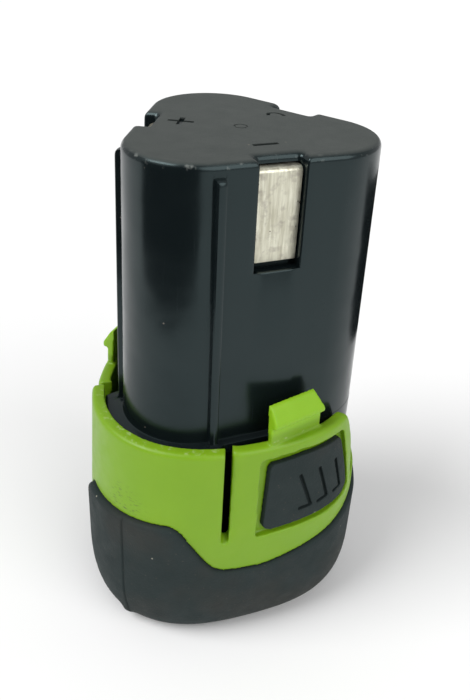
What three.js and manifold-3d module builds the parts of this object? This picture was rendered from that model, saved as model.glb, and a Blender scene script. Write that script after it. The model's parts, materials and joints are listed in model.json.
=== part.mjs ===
// Slide-in three-cell (12 V class) battery pack for a cordless drill, in millimetres, +Z up.
// Origin: centre of the tower's axis on the underside. -Y is the pack's front, and X = 0 its mirror plane.
import * as THREE from 'three';
import { mergeVertices } from 'three/addons/utils/BufferGeometryUtils.js';
import Module from 'manifold-3d';

const wasm = await Module();
wasm.setup();

const FIT = 0.3;
const OUTLINE_STEPS = 96;

// Cells: 18650 cans on a triangle.
const CELL_R = 9.2;
const CELL_PITCH_R = 10.85;
const CELL_Z0 = 14.0;
const CELL_Z1 = 79.2;
const CELL_CAP_R = 2.9;
const CELL_CAP_H = 1.1;
const CELL_RING_R = 8.4;
const CELL_RING_INNER_R = 3.3;

// Tower shell: three lobes joined by flats.
const TOWER_Z0 = 14.0;
const TOWER_TOP = 85.0;
const TOWER_LOBE_R = 11.15;
const TOWER_TAPER = 0.8;
const TAPER_Z0 = 33.0;
const CAVITY_LOBE_R = 9.5;
const CAVITY_TOP = 83.8;
const TOP_EDGE_R = 1.1;
const RIB_HALF_W = 0.75;
const RIB_PROUD = 1.1;
const RIB_TOP = 83.0;
const FLANGE_Z0 = 37.6;
const FLANGE_Z1 = 39.6;
const FLANGE_FLAT = 18.0;
const FLANGE_LATCH_ROOM = 1.5;

// Terminal slots in the three flats.
const SLOT_Z0 = 68.3;
const SLOT_BACK = 13.4;
const SLOT_HALF_W = 3.6;
const SLOT_WALL_BACK = 12.6;
const SLIT_Z0 = 82.55;
const SLIT_Z1 = 83.7;
const CONTACT_HALF_W = 3.35;
const CONTACT_T = 0.5;
const CONTACT_FRONT = 14.9;
const CONTACT_Z0 = 69.4;
const CONTACT_Z1 = 83.4;
const CONTACT_TAIL = 11.7;
const CONTACT_TAIL_Z0 = 80.4;
const MARK_R = 9.2;
const MARK_HALF_L = 1.9;
const MARK_HALF_W = 0.4;
const MARK_DEPTH = 0.4;

// Screw posts, in the gaps between the cells.
const POST_R = 12.75;
const BOSS_R = 2.3;
const BOSS_Z0 = 14.0;
const BOSS_Z1 = 30.0;
const BOSS_HOLE_R = 1.55;
const BOSS_HOLE_Z1 = 25.0;
const SCREW_R = 1.25;
const SCREW_HEAD_R = 2.3;
const SCREW_HEAD_Z0 = 1.0;
const SCREW_HEAD_Z1 = 2.5;
const SCREW_Z1 = 23.5;

// Collar and base outlines: radius = sum of FORM[k] * cos(k * angle from the front), and at the rear at
// least REAR_COVER outside the tower.
const COLLAR_TOP_FORM = [22.91, 2.71, -0.81, 1.49, 0.17];
const BASE_FORM = [24.22, 3.24, -0.92, 1.81, 0.38];
const REAR_COVER = 2.3;
const COLLAR_TOP = 41.0;
const COLLAR_REAR_TOP = 27.5;
const COLLAR_LOW = 24.0;
const COLLAR_INSET = 0.8;
const COLLAR_WALL = 2.1;
const COLLAR_EDGE = 0.7;
const COLLAR_SHARES = [0.5];

// Line between the collar and the base cup, as [angle on the right-hand side, height].
const SEAM_GAP = 0.15;
const SEAM_LINE = [[-90, 26.5], [-69, 26.7], [-57, 17.8], [-52, 16.5], [-34, 16.1], [-22, 17.2], [-4, 18.9],
  [6, 20.2], [14, 21.9], [20, 22.4], [34, 24.0], [90, 24.5]];

// Base cup.
const BASE_WALL = 2.4;
const BASE_FLOOR = 2.4;
const BASE_FLARE_Z = 12.0;
const BASE_FOOT_INSET = 6.5;
const BASE_FOOT_REAR_SHARE = 0.4;
const BASE_FOOT_LEVELS = [0, 0.2, 0.7, 1.7, 3.4, 6.5];
const BASE_RIM_EDGE = 0.5;
const BASE_INNER_CORNER = 1.5;
const COUNTERBORE_R = 2.7;
const COUNTERBORE_TOP = 2.8;
const CUP_POST_TOP = 13.7;
const CUP_POST_R = 2.7;
const CUP_SHOULDER_R = 3.6;
const CUP_SHOULDER_Z = 5.7;

// Latches. The right one is made; the left one mirrors it. Angles are half widths about its direction.
const LATCH_ANGLE = -16.2;
const LATCH_HALF_ANGLE = 33.6;
const LATCH_SPLIT_HALF_ANGLE = 34.4;
const LATCH_SLOT_HALF_ANGLE = 36.6;
const LATCH_SLOT_Z0 = 24.0;
const LATCH_SLOT_SLOPE = 0.02;
const LATCH_STEPS = 18;
const SPLIT_Z = 22.4;
const SPLIT_SLOPE = 0.04;
const LATCH_MID_Z = 31.0;
const LATCH_TOP = 40.6;
const LATCH_RECESS = 0.8;
const LATCH_EDGE_ANGLE = 3.4;
const LATCH_EDGE_DEPTH = 0.6;
const LATCH_TOP_BEVEL = 0.45;
const LATCH_SWING = 2.5;
const CUT_INNER_R = 10;
const CUT_OUTER_R = 40;
const HOOK_SIDES = [-6.5, 3.7];
const HOOK_PROFILE = [[19.9, 39.6], [21.0, 39.6], [20.8, 43.8], [21.6, 43.9], [21.7, 44.8], [20.1, 47.2],
  [19.4, 47.6]];
// What is taken off the upper rear corner of each latch, as [side, z].
const LATCH_CORNER = [[9.9, 42.0], [9.9, 40.4], [11.9, 36.0], [13.3, 30.0], [16.0, 30.0], [16.0, 42.0]];
const PAD_WINDOW = [[-8.9, 22.9], [5.4, 23.4], [10.6, 24.5], [11.3, 25.4], [8.9, 37.6], [8.1, 38.5], [-7.6, 38.4],
  [-8.3, 37.7]];
const PAD_WINDOW_CENTRE = [1.2, 30.8];
const PAD_MARGIN = 0.35;
const PAD_RECESS = 0.15;
const PAD_DEPTH = 1.2;
const PAD_BACK = 1.0;
const PAD_SLAB_LEVELS = [22.0, 30, 39.4];

// Board and what stands on it.
const BOARD_Z0 = 6.0;
const BOARD_Z1 = 7.6;
const BOARD_LOBE_R = 10.4;
const BOARD_HOLE_R = 3.05;
const PART_Z = 7.8;
const CARRIER_Z0 = 11.4;
const CARRIER_Z1 = 13.2;
const WIRE_R = 0.6;
const WIRE_HOLE_R = 0.95;
const WIRE_AP = 9.2;
const WIRE_Z0 = 7.9;
const STRIP_LOW_Z0 = 13.45;
const STRIP_TOP_Z0 = 79.5;
const STRIP_TOP_Z1 = 79.8;

const LOOKS = {
  shell: { color: 0x202625, roughness: 0.28, metalness: 0 },
  collar: { color: 0x86b62f, roughness: 0.4, metalness: 0 },
  soft: { color: 0x34393a, roughness: 0.85, metalness: 0 },
  contact: { color: 0xd8d3bd, roughness: 0.35, metalness: 0.8 },
  can: { color: 0x3f6f9a, roughness: 0.45, metalness: 0.2 },
  steel: { color: 0xb9bcc0, roughness: 0.35, metalness: 0.9 },
  paper: { color: 0xe8e4d8, roughness: 0.9, metalness: 0 },
  carrier: { color: 0x4a4d50, roughness: 0.7, metalness: 0 },
  board: { color: 0x1f5a34, roughness: 0.55, metalness: 0 },
  chip: { color: 0x17181a, roughness: 0.5, metalness: 0 },
  foam: { color: 0x2b2b2d, roughness: 0.95, metalness: 0 },
  red: { color: 0xb8231c, roughness: 0.5, metalness: 0 },
  black: { color: 0x141416, roughness: 0.5, metalness: 0 },
  yellow: { color: 0xd9b21c, roughness: 0.5, metalness: 0 },
  white: { color: 0xe6e6e2, roughness: 0.5, metalness: 0 },
};

const rad = THREE.MathUtils.degToRad;
const FLATS = [-30, -150, 90];
const LOBES = [-90, 30, 150];

// ---- geometry helpers -------------------------------------------------------------------------

// Closed body through equal-length loops of [x, y, z], counter-clockwise seen from above. `caps` says how
// its ends close: 'plan' for any outline, 'band' for an outline whose second half runs back along the
// first, 'none' for a ring whose last loop joins the first.
function skin(loops, caps = 'plan') {
  const count = loops[0].length;
  const index = [];
  const last = caps === 'none' ? loops.length : loops.length - 1;
  for (let k = 0; k < last; k += 1) {
    const a = k * count;
    const b = ((k + 1) % loops.length) * count;
    for (let i = 0; i < count; i += 1) {
      const j = (i + 1) % count;
      index.push(a + i, a + j, b + j, a + i, b + j, b + i);
    }
  }
  if (caps !== 'none') {
    const faces = caps === 'band' ? bandFaces(count) : planFaces(loops[0]);
    const top = caps === 'band' ? faces : planFaces(loops[loops.length - 1]);
    const start = (loops.length - 1) * count;
    faces.forEach(([a, b, c]) => index.push(a, c, b));
    top.forEach(([a, b, c]) => index.push(start + a, start + b, start + c));
  }
  const geometry = new THREE.BufferGeometry();
  geometry.setAttribute('position', new THREE.Float32BufferAttribute(loops.flat(2), 3));
  geometry.setIndex(index);
  return geometry;
}

const planFaces = (loop) => THREE.ShapeUtils.triangulateShape(loop.map(([x, y]) => new THREE.Vector2(x, y)), []);

function bandFaces(count) {
  return Array.from({ length: count / 2 - 1 }, (_, i) => {
    const back = count - 1 - i;
    return [[i, i + 1, back - 1], [i, back - 1, back]];
  }).flat();
}

function toSolid(geometry) {
  const bare = geometry.clone();
  bare.deleteAttribute('normal');
  bare.deleteAttribute('uv');
  const merged = mergeVertices(bare, 1e-5);
  return new wasm.Manifold(new wasm.Mesh({
    numProp: 3,
    vertProperties: new Float32Array(merged.attributes.position.array),
    triVerts: new Uint32Array(merged.index.array),
  }));
}

function toGeometry(solid) {
  const mesh = solid.getMesh();
  const geometry = new THREE.BufferGeometry();
  geometry.setAttribute('position', new THREE.Float32BufferAttribute(mesh.vertProperties, 3));
  geometry.setIndex(Array.from(mesh.triVerts));
  return geometry;
}

const join = (base, pieces) => pieces.reduce((solid, piece) => solid.add(toSolid(piece)), base);
const cut = (base, tools) => tools.reduce((solid, tool) => solid.subtract(toSolid(tool)), base);

function part(name, geometry, look) {
  const solid = geometry.isBufferGeometry ? geometry : toGeometry(geometry);
  const shaded = solid.toNonIndexed();
  shaded.computeVertexNormals();
  const mesh = new THREE.Mesh(shaded, new THREE.MeshStandardMaterial(LOOKS[look]));
  mesh.name = name;
  return mesh;
}

const atHeight = (points, z) => points.map(([x, y]) => [x, y, z]);
const prism = (points, z0, z1) => skin([atHeight(points, z0), atHeight(points, z1)]);

function circle(radius, steps = 24, cx = 0, cy = 0) {
  return Array.from({ length: steps }, (_, i) => {
    const angle = (2 * Math.PI * i) / steps;
    return [cx + radius * Math.cos(angle), cy + radius * Math.sin(angle)];
  });
}

// Round body about a vertical axis through (cx, cy); profile is a list of [radius, z], bottom first.
const turned = (profile, cx = 0, cy = 0, steps = 24) =>
  skin(profile.map(([radius, z]) => atHeight(circle(radius, steps, cx, cy), z)));

// Point at distance `out` along a direction in degrees and `side` across it.
function along(angle, out, side = 0) {
  const c = Math.cos(rad(angle));
  const s = Math.sin(rad(angle));
  return [out * c - side * s, out * s + side * c];
}

const alongPrism = (angle, outline, z0, z1) => prism(outline.map(([out, side]) => along(angle, out, side)), z0, z1);

function rectangle(out0, out1, side0, side1) {
  return [[out0, side0], [out1, side0], [out1, side1], [out0, side1]];
}

const polarLoop = (radiusAt, zAt) => Array.from({ length: OUTLINE_STEPS }, (_, i) => {
  const angle = (360 * i) / OUTLINE_STEPS;
  const radius = radiusAt(angle);
  const z = typeof zAt === 'function' ? zAt(angle) : zAt;
  return [radius * Math.cos(rad(angle)), radius * Math.sin(rad(angle)), z];
});

// ---- outlines ---------------------------------------------------------------------------------

const wrap = (angle) => ((((angle + 180) % 360) + 360) % 360) - 180;

function trefoil(angle, lobeR) {
  const off = Math.min(...LOBES.map((lobe) => Math.abs(wrap(angle - lobe))));
  const flat = CELL_PITCH_R / 2 + lobeR;
  const tangent = THREE.MathUtils.radToDeg(Math.atan2(CELL_PITCH_R * Math.sin(rad(60)), flat));
  if (60 - off < tangent) {
    return flat / Math.cos(rad(60 - off));
  }
  const side = CELL_PITCH_R * Math.sin(rad(off));
  return CELL_PITCH_R * Math.cos(rad(off)) + Math.sqrt(lobeR * lobeR - side * side);
}

const towerLobe = (z) => TOWER_LOBE_R - (TOWER_TAPER * (z - TAPER_Z0)) / (TOWER_TOP - TAPER_Z0);
const trefoilLoop = (lobeR, z) => polarLoop((angle) => trefoil(angle, lobeR), z);
const form = (coefficients, angle) =>
  coefficients.reduce((sum, value, k) => sum + value * Math.cos(k * rad(angle + 90)), 0);
const baseR = (angle, inset = 0) =>
  Math.max(form(BASE_FORM, angle), trefoil(angle, TOWER_LOBE_R) + REAR_COVER) - inset;

function collarR(angle, z) {
  const mix = THREE.MathUtils.clamp((COLLAR_TOP - z) / (COLLAR_TOP - COLLAR_LOW), 0, 1);
  return THREE.MathUtils.lerp(form(COLLAR_TOP_FORM, angle), baseR(angle, COLLAR_INSET), mix);
}

const collarInnerR = (angle, z) =>
  Math.max(collarR(angle, z) - COLLAR_WALL, trefoil(angle, towerLobe(z)) + FIT);

// The same angle on the right-hand side, from -90 at the front to 90 at the rear.
const rightAngle = (angle) => 90 - Math.abs(wrap(angle - 90));
const isRear = (angle) => rightAngle(angle) > LATCH_ANGLE;

function seamZ(angle) {
  const at = rightAngle(angle);
  const k = SEAM_LINE.findIndex(([end], i) => i > 0 && at <= end + 1e-6);
  const [a0, z0] = SEAM_LINE[k - 1];
  const [a1, z1] = SEAM_LINE[k];
  return z0 + ((z1 - z0) * (at - a0)) / (a1 - a0);
}

// Height of the cut below a latch, which slopes with the seam.
const splitZ = (angle) => SPLIT_Z + SPLIT_SLOPE * (angle - LATCH_ANGLE);

// Outer face of a latch, set back towards its top.
function latchFaceR(angle, z, inset = 0) {
  const recess = LATCH_RECESS * THREE.MathUtils.clamp((z - SPLIT_Z) / (COLLAR_TOP - SPLIT_Z), 0, 1);
  return collarR(angle, z) - recess - inset;
}

// Back of a latch, kept clear of the tower when the latch is pressed in.
function latchBackR(angle, z) {
  const swing = Math.max(0, z - SPLIT_Z) * Math.sin(rad(LATCH_SWING)) * Math.cos(rad(angle - LATCH_ANGLE));
  return Math.max(latchFaceR(angle, z, COLLAR_WALL), trefoil(angle, towerLobe(z)) + FIT + swing);
}

// ---- tower ------------------------------------------------------------------------------------

function slotOutline(back, halfW) {
  return [[back, -halfW + 0.8], [back + 0.7, -halfW], [20, -halfW], [20, halfW], [back + 0.7, halfW],
    [back, halfW - 0.8]];
}

function slotWallOutline() {
  const halfW = SLOT_HALF_W + 1;
  return [[SLOT_WALL_BACK, -2.6], [SLOT_WALL_BACK + 1.3, -halfW], [20, -halfW], [20, halfW],
    [SLOT_WALL_BACK + 1.3, halfW], [SLOT_WALL_BACK, 2.6]];
}

function cavity() {
  const inside = skin([TOWER_Z0 - 1, CAVITY_TOP].map((z) => trefoilLoop(CAVITY_LOBE_R, z)));
  return cut(toSolid(inside), FLATS.map((flat) => alongPrism(flat, slotWallOutline(), SLOT_Z0 - 1.1, TOWER_TOP)));
}

// Skirt that fills the collar's front and stays clear of the latches.
function flange() {
  const hidden = (angle) => trefoil(angle, CAVITY_LOBE_R + 0.8);
  const edge = (angle) => {
    const room = collarInnerR(angle, FLANGE_Z0) - FIT;
    const off = rightAngle(angle) - LATCH_ANGLE;
    if (off > 0) {
      return hidden(angle);
    }
    const nearLatch = -off < LATCH_SLOT_HALF_ANGLE + 1;
    const flatOff = Math.abs(rightAngle(angle) - FLATS[0]);
    const limit = Math.min(FLANGE_FLAT / Math.cos(rad(flatOff)), room - LATCH_RECESS - FLANGE_LATCH_ROOM);
    return Math.max(hidden(angle), nearLatch ? limit : room);
  };
  return skin([polarLoop(edge, FLANGE_Z0), polarLoop(edge, FLANGE_Z1)]);
}

function rib(flat) {
  const [cx, cy] = along(LOBES[0], CELL_PITCH_R);
  const loop = (z) => {
    const face = towerLobe(z);
    return rectangle(face - 0.6, face + RIB_PROUD, -RIB_HALF_W, RIB_HALF_W).map(([out, side]) => {
      const [x, y] = along(flat, out, side);
      return [cx + x, cy + y, z];
    });
  };
  return skin([loop(FLANGE_Z1 - 0.5), loop(RIB_TOP)]);
}

function topMarks() {
  const z0 = TOWER_TOP - MARK_DEPTH;
  const z1 = TOWER_TOP + 1;
  const bar = (angle, out, halfOut, halfSide) =>
    alongPrism(angle, rectangle(out - halfOut, out + halfOut, -halfSide, halfSide), z0, z1);
  const crossOutline = circle(1, 12).map((_, i) => {
    const turn = Math.floor(i / 3) * 90;
    const corner = [[MARK_HALF_W, MARK_HALF_W], [MARK_HALF_W, MARK_HALF_L], [-MARK_HALF_W, MARK_HALF_L]][i % 3];
    const [x, y] = along(turn, corner[0], corner[1]);
    return along(FLATS[1], MARK_R + x, y);
  });
  const [minus, , signal] = FLATS;
  const bracket = [[-1.5, -1.4], [1.5, -1.4], [1.5, 1.4], [0.8, 1.4], [0.8, -0.7], [-0.8, -0.7], [-0.8, 1.4],
    [-1.5, 1.4]];
  return [
    bar(minus, MARK_R, MARK_HALF_W, MARK_HALF_L),
    prism(crossOutline, z0, z1),
    alongPrism(signal, bracket.map(([out, side]) => [MARK_R + out, side]), z0, z1),
  ];
}

function towerHousing() {
  const outer = [TOWER_Z0, TAPER_Z0].map((z) => trefoilLoop(TOWER_LOBE_R, z));
  const rounding = [[0, TOP_EDGE_R], [0.3, 0.4], [TOP_EDGE_R, 0]];
  for (const [inset, drop] of rounding) {
    outer.push(trefoilLoop(towerLobe(TOWER_TOP) - inset, TOWER_TOP - drop));
  }
  const ribs = FLATS.slice(0, 2).map(rib);
  const bosses = FLATS.map((flat) => turned([[BOSS_R, BOSS_Z0], [BOSS_R, BOSS_Z1]], ...along(flat, POST_R), 16));
  const holes = FLATS.map((flat) =>
    turned([[BOSS_HOLE_R, BOSS_Z0 - 1], [BOSS_HOLE_R, BOSS_HOLE_Z1]], ...along(flat, POST_R), 12));
  const slots = FLATS.map((flat) => alongPrism(flat, slotOutline(SLOT_BACK, SLOT_HALF_W), SLOT_Z0, TOWER_TOP + 1));
  const slits = FLATS.map((flat) =>
    alongPrism(flat, rectangle(CONTACT_TAIL - 0.4, SLOT_BACK + 0.5, -CONTACT_HALF_W - 0.2, CONTACT_HALF_W + 0.2),
      SLIT_Z0, SLIT_Z1));
  const shell = join(toSolid(skin(outer)), [flange(), ...ribs]).subtract(cavity());
  return part('tower_housing', cut(join(shell, bosses), [...holes, ...slots, ...slits, ...topMarks()]), 'shell');
}

// ---- collar, latches and base -----------------------------------------------------------------

// Prism along the latch direction whose outline is given as [side, z].
function latchPrism(outline, out0, out1) {
  const place = (out) => outline.map(([side, z]) => [...along(LATCH_ANGLE, out, side), z]);
  return profileBody(outline, place(out0), place(out1));
}

// Body between two equal loops in any plane; `outline` is their shape in their own plane.
function profileBody(outline, first, second) {
  const flat = outline.map(([u, v]) => [u, v, 0]);
  const geometry = skin([flat, flat]);
  geometry.setAttribute('position', new THREE.Float32BufferAttribute([...first, ...second].flat(), 3));
  return geometry;
}

function mirrored(geometry) {
  const flipped = geometry.clone().scale(-1, 1, 1);
  const index = Array.from(flipped.index.array);
  for (let i = 0; i < index.length; i += 3) {
    [index[i + 1], index[i + 2]] = [index[i + 2], index[i + 1]];
  }
  flipped.setIndex(index);
  return flipped;
}

// Curved slab about the latch direction. A level is {z, outer, inner}, each a function of the angle.
function latchBand(halfAngle, levels) {
  const angles = Array.from({ length: LATCH_STEPS + 1 },
    (_, i) => LATCH_ANGLE + THREE.MathUtils.lerp(-halfAngle, halfAngle, i / LATCH_STEPS));
  const loops = levels.map(({ z, outer, inner }) => [
    ...angles.map((angle) => [...along(angle, outer(angle, z(angle))), z(angle)]),
    ...angles.map((angle) => [...along(angle, inner(angle, z(angle))), z(angle)]).reverse(),
  ]);
  return skin(loops, 'band');
}

// What is cut from the collar for a latch: a thin gap below it and a wider slot at each side.
function latchRoom(halfAngle, floor) {
  const outer = () => CUT_OUTER_R;
  const inner = () => CUT_INNER_R;
  return toSolid(latchBand(halfAngle, [{ z: floor, outer, inner }, { z: () => COLLAR_TOP + 2, outer, inner }]));
}

function collarRing() {
  const top = (angle) => (isRear(angle) ? COLLAR_REAR_TOP : COLLAR_TOP);
  const low = (angle) => seamZ(angle) + SEAM_GAP;
  const at = (share) => (angle) => THREE.MathUtils.lerp(low(angle), top(angle), share);
  const wall = (radiusAt, zAt, inset = 0) => polarLoop((angle) => radiusAt(angle, zAt(angle)) - inset, zAt);
  const loops = [
    wall(collarR, low),
    ...COLLAR_SHARES.map((share) => wall(collarR, at(share))),
    wall(collarR, (angle) => top(angle) - COLLAR_EDGE),
    wall(collarR, top, COLLAR_EDGE),
    wall(collarInnerR, top),
    ...COLLAR_SHARES.map((share) => wall(collarInnerR, at(share))),
    wall(collarInnerR, low),
  ];
  const room = latchRoom(LATCH_SPLIT_HALF_ANGLE, (angle) => splitZ(angle) - FIT / 2)
    .add(latchRoom(LATCH_SLOT_HALF_ANGLE, (angle) => LATCH_SLOT_Z0 + LATCH_SLOT_SLOPE * (angle - LATCH_ANGLE)));
  const rooms = [toGeometry(room), mirrored(toGeometry(room))];
  return part('collar_ring', cut(toSolid(skin(loops, 'none')), rooms), 'collar');
}

// How far the base's wall is drawn in near its foot, less at the rear.
function footInset(angle, z) {
  const rear = THREE.MathUtils.smoothstep(rightAngle(angle), 0, 70);
  const share = THREE.MathUtils.lerp(1, BASE_FOOT_REAR_SHARE, rear);
  return BASE_FOOT_INSET * share * (1 - Math.sqrt(Math.min(1, z / BASE_FLARE_Z))) ** 2;
}

function baseCup() {
  const wallR = (angle) => Math.max(baseR(angle, BASE_WALL), trefoil(angle, TOWER_LOBE_R) + FIT);
  const rimZ = (angle) => seamZ(angle) - SEAM_GAP;
  const rim = (inset, drop) => polarLoop((angle) => baseR(angle, inset), (angle) => rimZ(angle) - drop);
  const loops = [
    ...BASE_FOOT_LEVELS.map((z) => polarLoop((angle) => baseR(angle, footInset(angle, z)), z)),
    polarLoop((angle) => baseR(angle), BASE_FLARE_Z),
    rim(0, BASE_RIM_EDGE),
    rim(BASE_RIM_EDGE, 0),
    polarLoop(wallR, rimZ),
    polarLoop(wallR, BASE_FLOOR + 2 * BASE_INNER_CORNER),
    polarLoop((angle) => wallR(angle) - 0.5 * BASE_INNER_CORNER, BASE_FLOOR + 0.5 * BASE_INNER_CORNER),
    polarLoop((angle) => wallR(angle) - 1.5 * BASE_INNER_CORNER, BASE_FLOOR),
  ];
  const posts = FLATS.map((flat) => turned([[CUP_SHOULDER_R, BASE_FLOOR - 0.5], [CUP_SHOULDER_R, CUP_SHOULDER_Z],
    [CUP_POST_R, CUP_SHOULDER_Z], [CUP_POST_R, CUP_POST_TOP]], ...along(flat, POST_R), 20));
  const bores = FLATS.map((flat) => turned([[COUNTERBORE_R, -1], [COUNTERBORE_R, COUNTERBORE_TOP],
    [BOSS_HOLE_R, COUNTERBORE_TOP], [BOSS_HOLE_R, CUP_POST_TOP + 1]], ...along(flat, POST_R), 16));
  return part('base_cup', cut(join(toSolid(skin(loops)), posts), bores), 'soft');
}

function latchBody() {
  const rounding = (angle) => {
    const past = Math.abs(angle - LATCH_ANGLE) - (LATCH_HALF_ANGLE - LATCH_EDGE_ANGLE);
    const share = Math.max(0, past) / LATCH_EDGE_ANGLE;
    return LATCH_EDGE_DEPTH * (1 - Math.sqrt(Math.max(0, 1 - share * share)));
  };
  const levelAt = (z, inset = 0) => ({
    z, outer: (angle, height) => latchFaceR(angle, height, inset + rounding(angle)), inner: latchBackR,
  });
  return latchBand(LATCH_HALF_ANGLE, [
    levelAt((angle) => splitZ(angle) + FIT / 2),
    levelAt(() => LATCH_MID_Z),
    levelAt(() => LATCH_TOP - LATCH_TOP_BEVEL),
    levelAt(() => LATCH_TOP, LATCH_TOP_BEVEL),
  ]);
}

function hook() {
  const [low, high] = HOOK_SIDES;
  const face = (side) => HOOK_PROFILE.map(([out, z]) => [...along(LATCH_ANGLE, out, side), z]);
  return profileBody(HOOK_PROFILE, face(high), face(low));
}

// Slab that follows the latch face between two depths below it.
function latchSlab(insetOuter, insetInner) {
  return latchBand(LATCH_HALF_ANGLE, PAD_SLAB_LEVELS.map((height) => ({
    z: () => height,
    outer: (angle, z) => latchFaceR(angle, z, insetOuter),
    inner: (angle, z) => latchFaceR(angle, z, insetInner),
  })));
}

function padOutline(margin) {
  const [side0, z0] = PAD_WINDOW_CENTRE;
  return PAD_WINDOW.map(([side, z]) => [side - Math.sign(side - side0) * margin, z - Math.sign(z - z0) * margin]);
}

function latchArm() {
  const window = toSolid(latchPrism(padOutline(0), CUT_INNER_R, CUT_OUTER_R));
  const pocket = toSolid(latchSlab(-COLLAR_WALL, PAD_DEPTH)).intersect(window);
  const body = join(toSolid(latchBody()), [hook()]).subtract(pocket);
  return toGeometry(cut(body, [latchPrism(LATCH_CORNER, CUT_INNER_R, CUT_OUTER_R)]));
}

function gripPad() {
  const outline = toSolid(latchPrism(padOutline(PAD_MARGIN), CUT_INNER_R, CUT_OUTER_R));
  return toGeometry(toSolid(latchSlab(PAD_RECESS, PAD_BACK)).intersect(outline));
}

// ---- terminals and cells ----------------------------------------------------------------------

function contact(name, flat) {
  const profile = [
    [CONTACT_FRONT - CONTACT_T, CONTACT_Z0], [CONTACT_FRONT, CONTACT_Z0], [CONTACT_FRONT, CONTACT_Z1 - 0.3],
    [CONTACT_FRONT - 0.3, CONTACT_Z1], [CONTACT_TAIL, CONTACT_Z1], [CONTACT_TAIL, CONTACT_TAIL_Z0],
    [CONTACT_TAIL + CONTACT_T, CONTACT_TAIL_Z0], [CONTACT_TAIL + CONTACT_T, CONTACT_Z1 - CONTACT_T],
    [CONTACT_FRONT - CONTACT_T, CONTACT_Z1 - CONTACT_T],
  ];
  const face = (side) => profile.map(([out, z]) => [...along(flat, out, side), z]);
  const geometry = profileBody(profile, face(CONTACT_HALF_W), face(-CONTACT_HALF_W));
  return part(name, geometry, 'contact');
}

function cell(number, lobe, upright) {
  const group = new THREE.Group();
  group.name = `cell_${number}`;
  const height = CELL_Z1 - CELL_Z0;
  const canTop = height - CELL_CAP_H - 0.2;
  const can = turned([[CELL_R - 0.6, 0], [CELL_R, 0.6], [CELL_R, canTop - 0.7], [CELL_R - 0.7, canTop]], 0, 0, 36);
  const cap = turned([[CELL_CAP_R, canTop + 0.2], [CELL_CAP_R, height - 0.3], [CELL_CAP_R - 0.4, height]], 0, 0, 20);
  const ringLoops = [[CELL_RING_R, canTop + 0.15], [CELL_RING_R, canTop + 0.45], [CELL_RING_INNER_R, canTop + 0.45],
    [CELL_RING_INNER_R, canTop + 0.15]].map(([radius, z]) => atHeight(circle(radius, 28), z));
  group.add(part(`cell_${number}_can`, can, 'can'));
  group.add(part(`cell_${number}_positive_cap`, cap, 'steel'));
  group.add(part(`cell_${number}_insulator_ring`, skin(ringLoops, 'none'), 'paper'));
  const [x, y] = along(lobe, CELL_PITCH_R);
  group.position.set(x, y, upright ? CELL_Z0 : CELL_Z1);
  group.rotation.set(upright ? 0 : Math.PI, 0, 0);
  return group;
}

// Nickel strip joining a list of plan points, as a band of the given half width.
function strip(name, from, to, halfW, z0) {
  const a = new THREE.Vector2(...from);
  const b = new THREE.Vector2(...to);
  const run = b.clone().sub(a).normalize();
  const side = new THREE.Vector2(-run.y, run.x).multiplyScalar(halfW);
  const ends = [a.clone().sub(side), b.clone().sub(side), b.clone().add(side), a.clone().add(side)];
  const thickness = STRIP_TOP_Z1 - STRIP_TOP_Z0;
  return part(name, prism(ends.map((point) => [point.x, point.y]), z0, z0 + thickness), 'steel');
}

function strips() {
  const [a, b, c] = LOBES.map((lobe) => along(lobe, CELL_PITCH_R));
  return [
    strip('strip_series_top', [a[0] - 2.4, a[1] - 1], [b[0] - 0.4, b[1] + 2.6], 3.9, STRIP_TOP_Z0),
    strip('strip_pack_positive', [c[0], c[1] + 3], [c[0] + 0.4, c[1] - 7.2], 3, STRIP_TOP_Z0),
    strip('strip_series_bottom', [b[0] + 2, b[1]], [c[0] - 2, c[1]], 2.6, STRIP_LOW_Z0),
    strip('strip_pack_negative', [a[0], a[1] - 3], [a[0], a[1] + 6.2], 3, STRIP_LOW_Z0),
  ];
}

// ---- board and wiring -------------------------------------------------------------------------

function protectionBoard() {
  const holes = FLATS.map((flat) =>
    turned([[BOARD_HOLE_R, BOARD_Z0 - 1], [BOARD_HOLE_R, BOARD_Z1 + 1]], ...along(flat, POST_R), 20));
  const plate = skin([trefoilLoop(BOARD_LOBE_R, BOARD_Z0), trefoilLoop(BOARD_LOBE_R, BOARD_Z1)]);
  return part('protection_board', cut(toSolid(plate), holes), 'board');
}

function cellCarrier() {
  const notches = FLATS.map((flat) =>
    turned([[CUP_POST_R + FIT, CARRIER_Z0 - 1], [CUP_POST_R + FIT, CARRIER_Z1 + 1]], ...along(flat, POST_R), 20));
  const wires = [...FLATS.map((flat) => along(flat, WIRE_AP)), [0, 0], [0, 5.4], [0, -6]];
  const wireHoles = wires.map(([x, y]) =>
    turned([[WIRE_HOLE_R, CARRIER_Z0 - 1], [WIRE_HOLE_R, CARRIER_Z1 + 1]], x, y, 12));
  const plate = skin([trefoilLoop(CELL_R, CARRIER_Z0), trefoilLoop(CELL_R, CARRIER_Z1)]);
  return part('cell_carrier', cut(toSolid(plate), [...notches, ...wireHoles]), 'carrier');
}

function chip(name, x, y, length, width, height, turn = 0) {
  const outline = rectangle(-length / 2, length / 2, -width / 2, width / 2).map(([out, side]) => along(turn, out, side));
  const inset = (points, amount) => points.map(([px, py]) => {
    const scale = 1 - amount / Math.hypot(px, py);
    return [px * scale, py * scale];
  });
  const loops = [atHeight(outline, 0), atHeight(outline, height * 0.6), atHeight(inset(outline, 0.3), height)];
  const mesh = part(name, skin(loops), 'chip');
  mesh.position.set(x, y, PART_Z);
  return mesh;
}

function capacitor(name, x, y) {
  const body = turned([[1.9, 0], [2, 0.4], [2, 2.6], [1.7, 3]], 0, 0, 20);
  const mesh = part(name, body, 'steel');
  mesh.position.set(x, y, PART_Z);
  return mesh;
}

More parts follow.
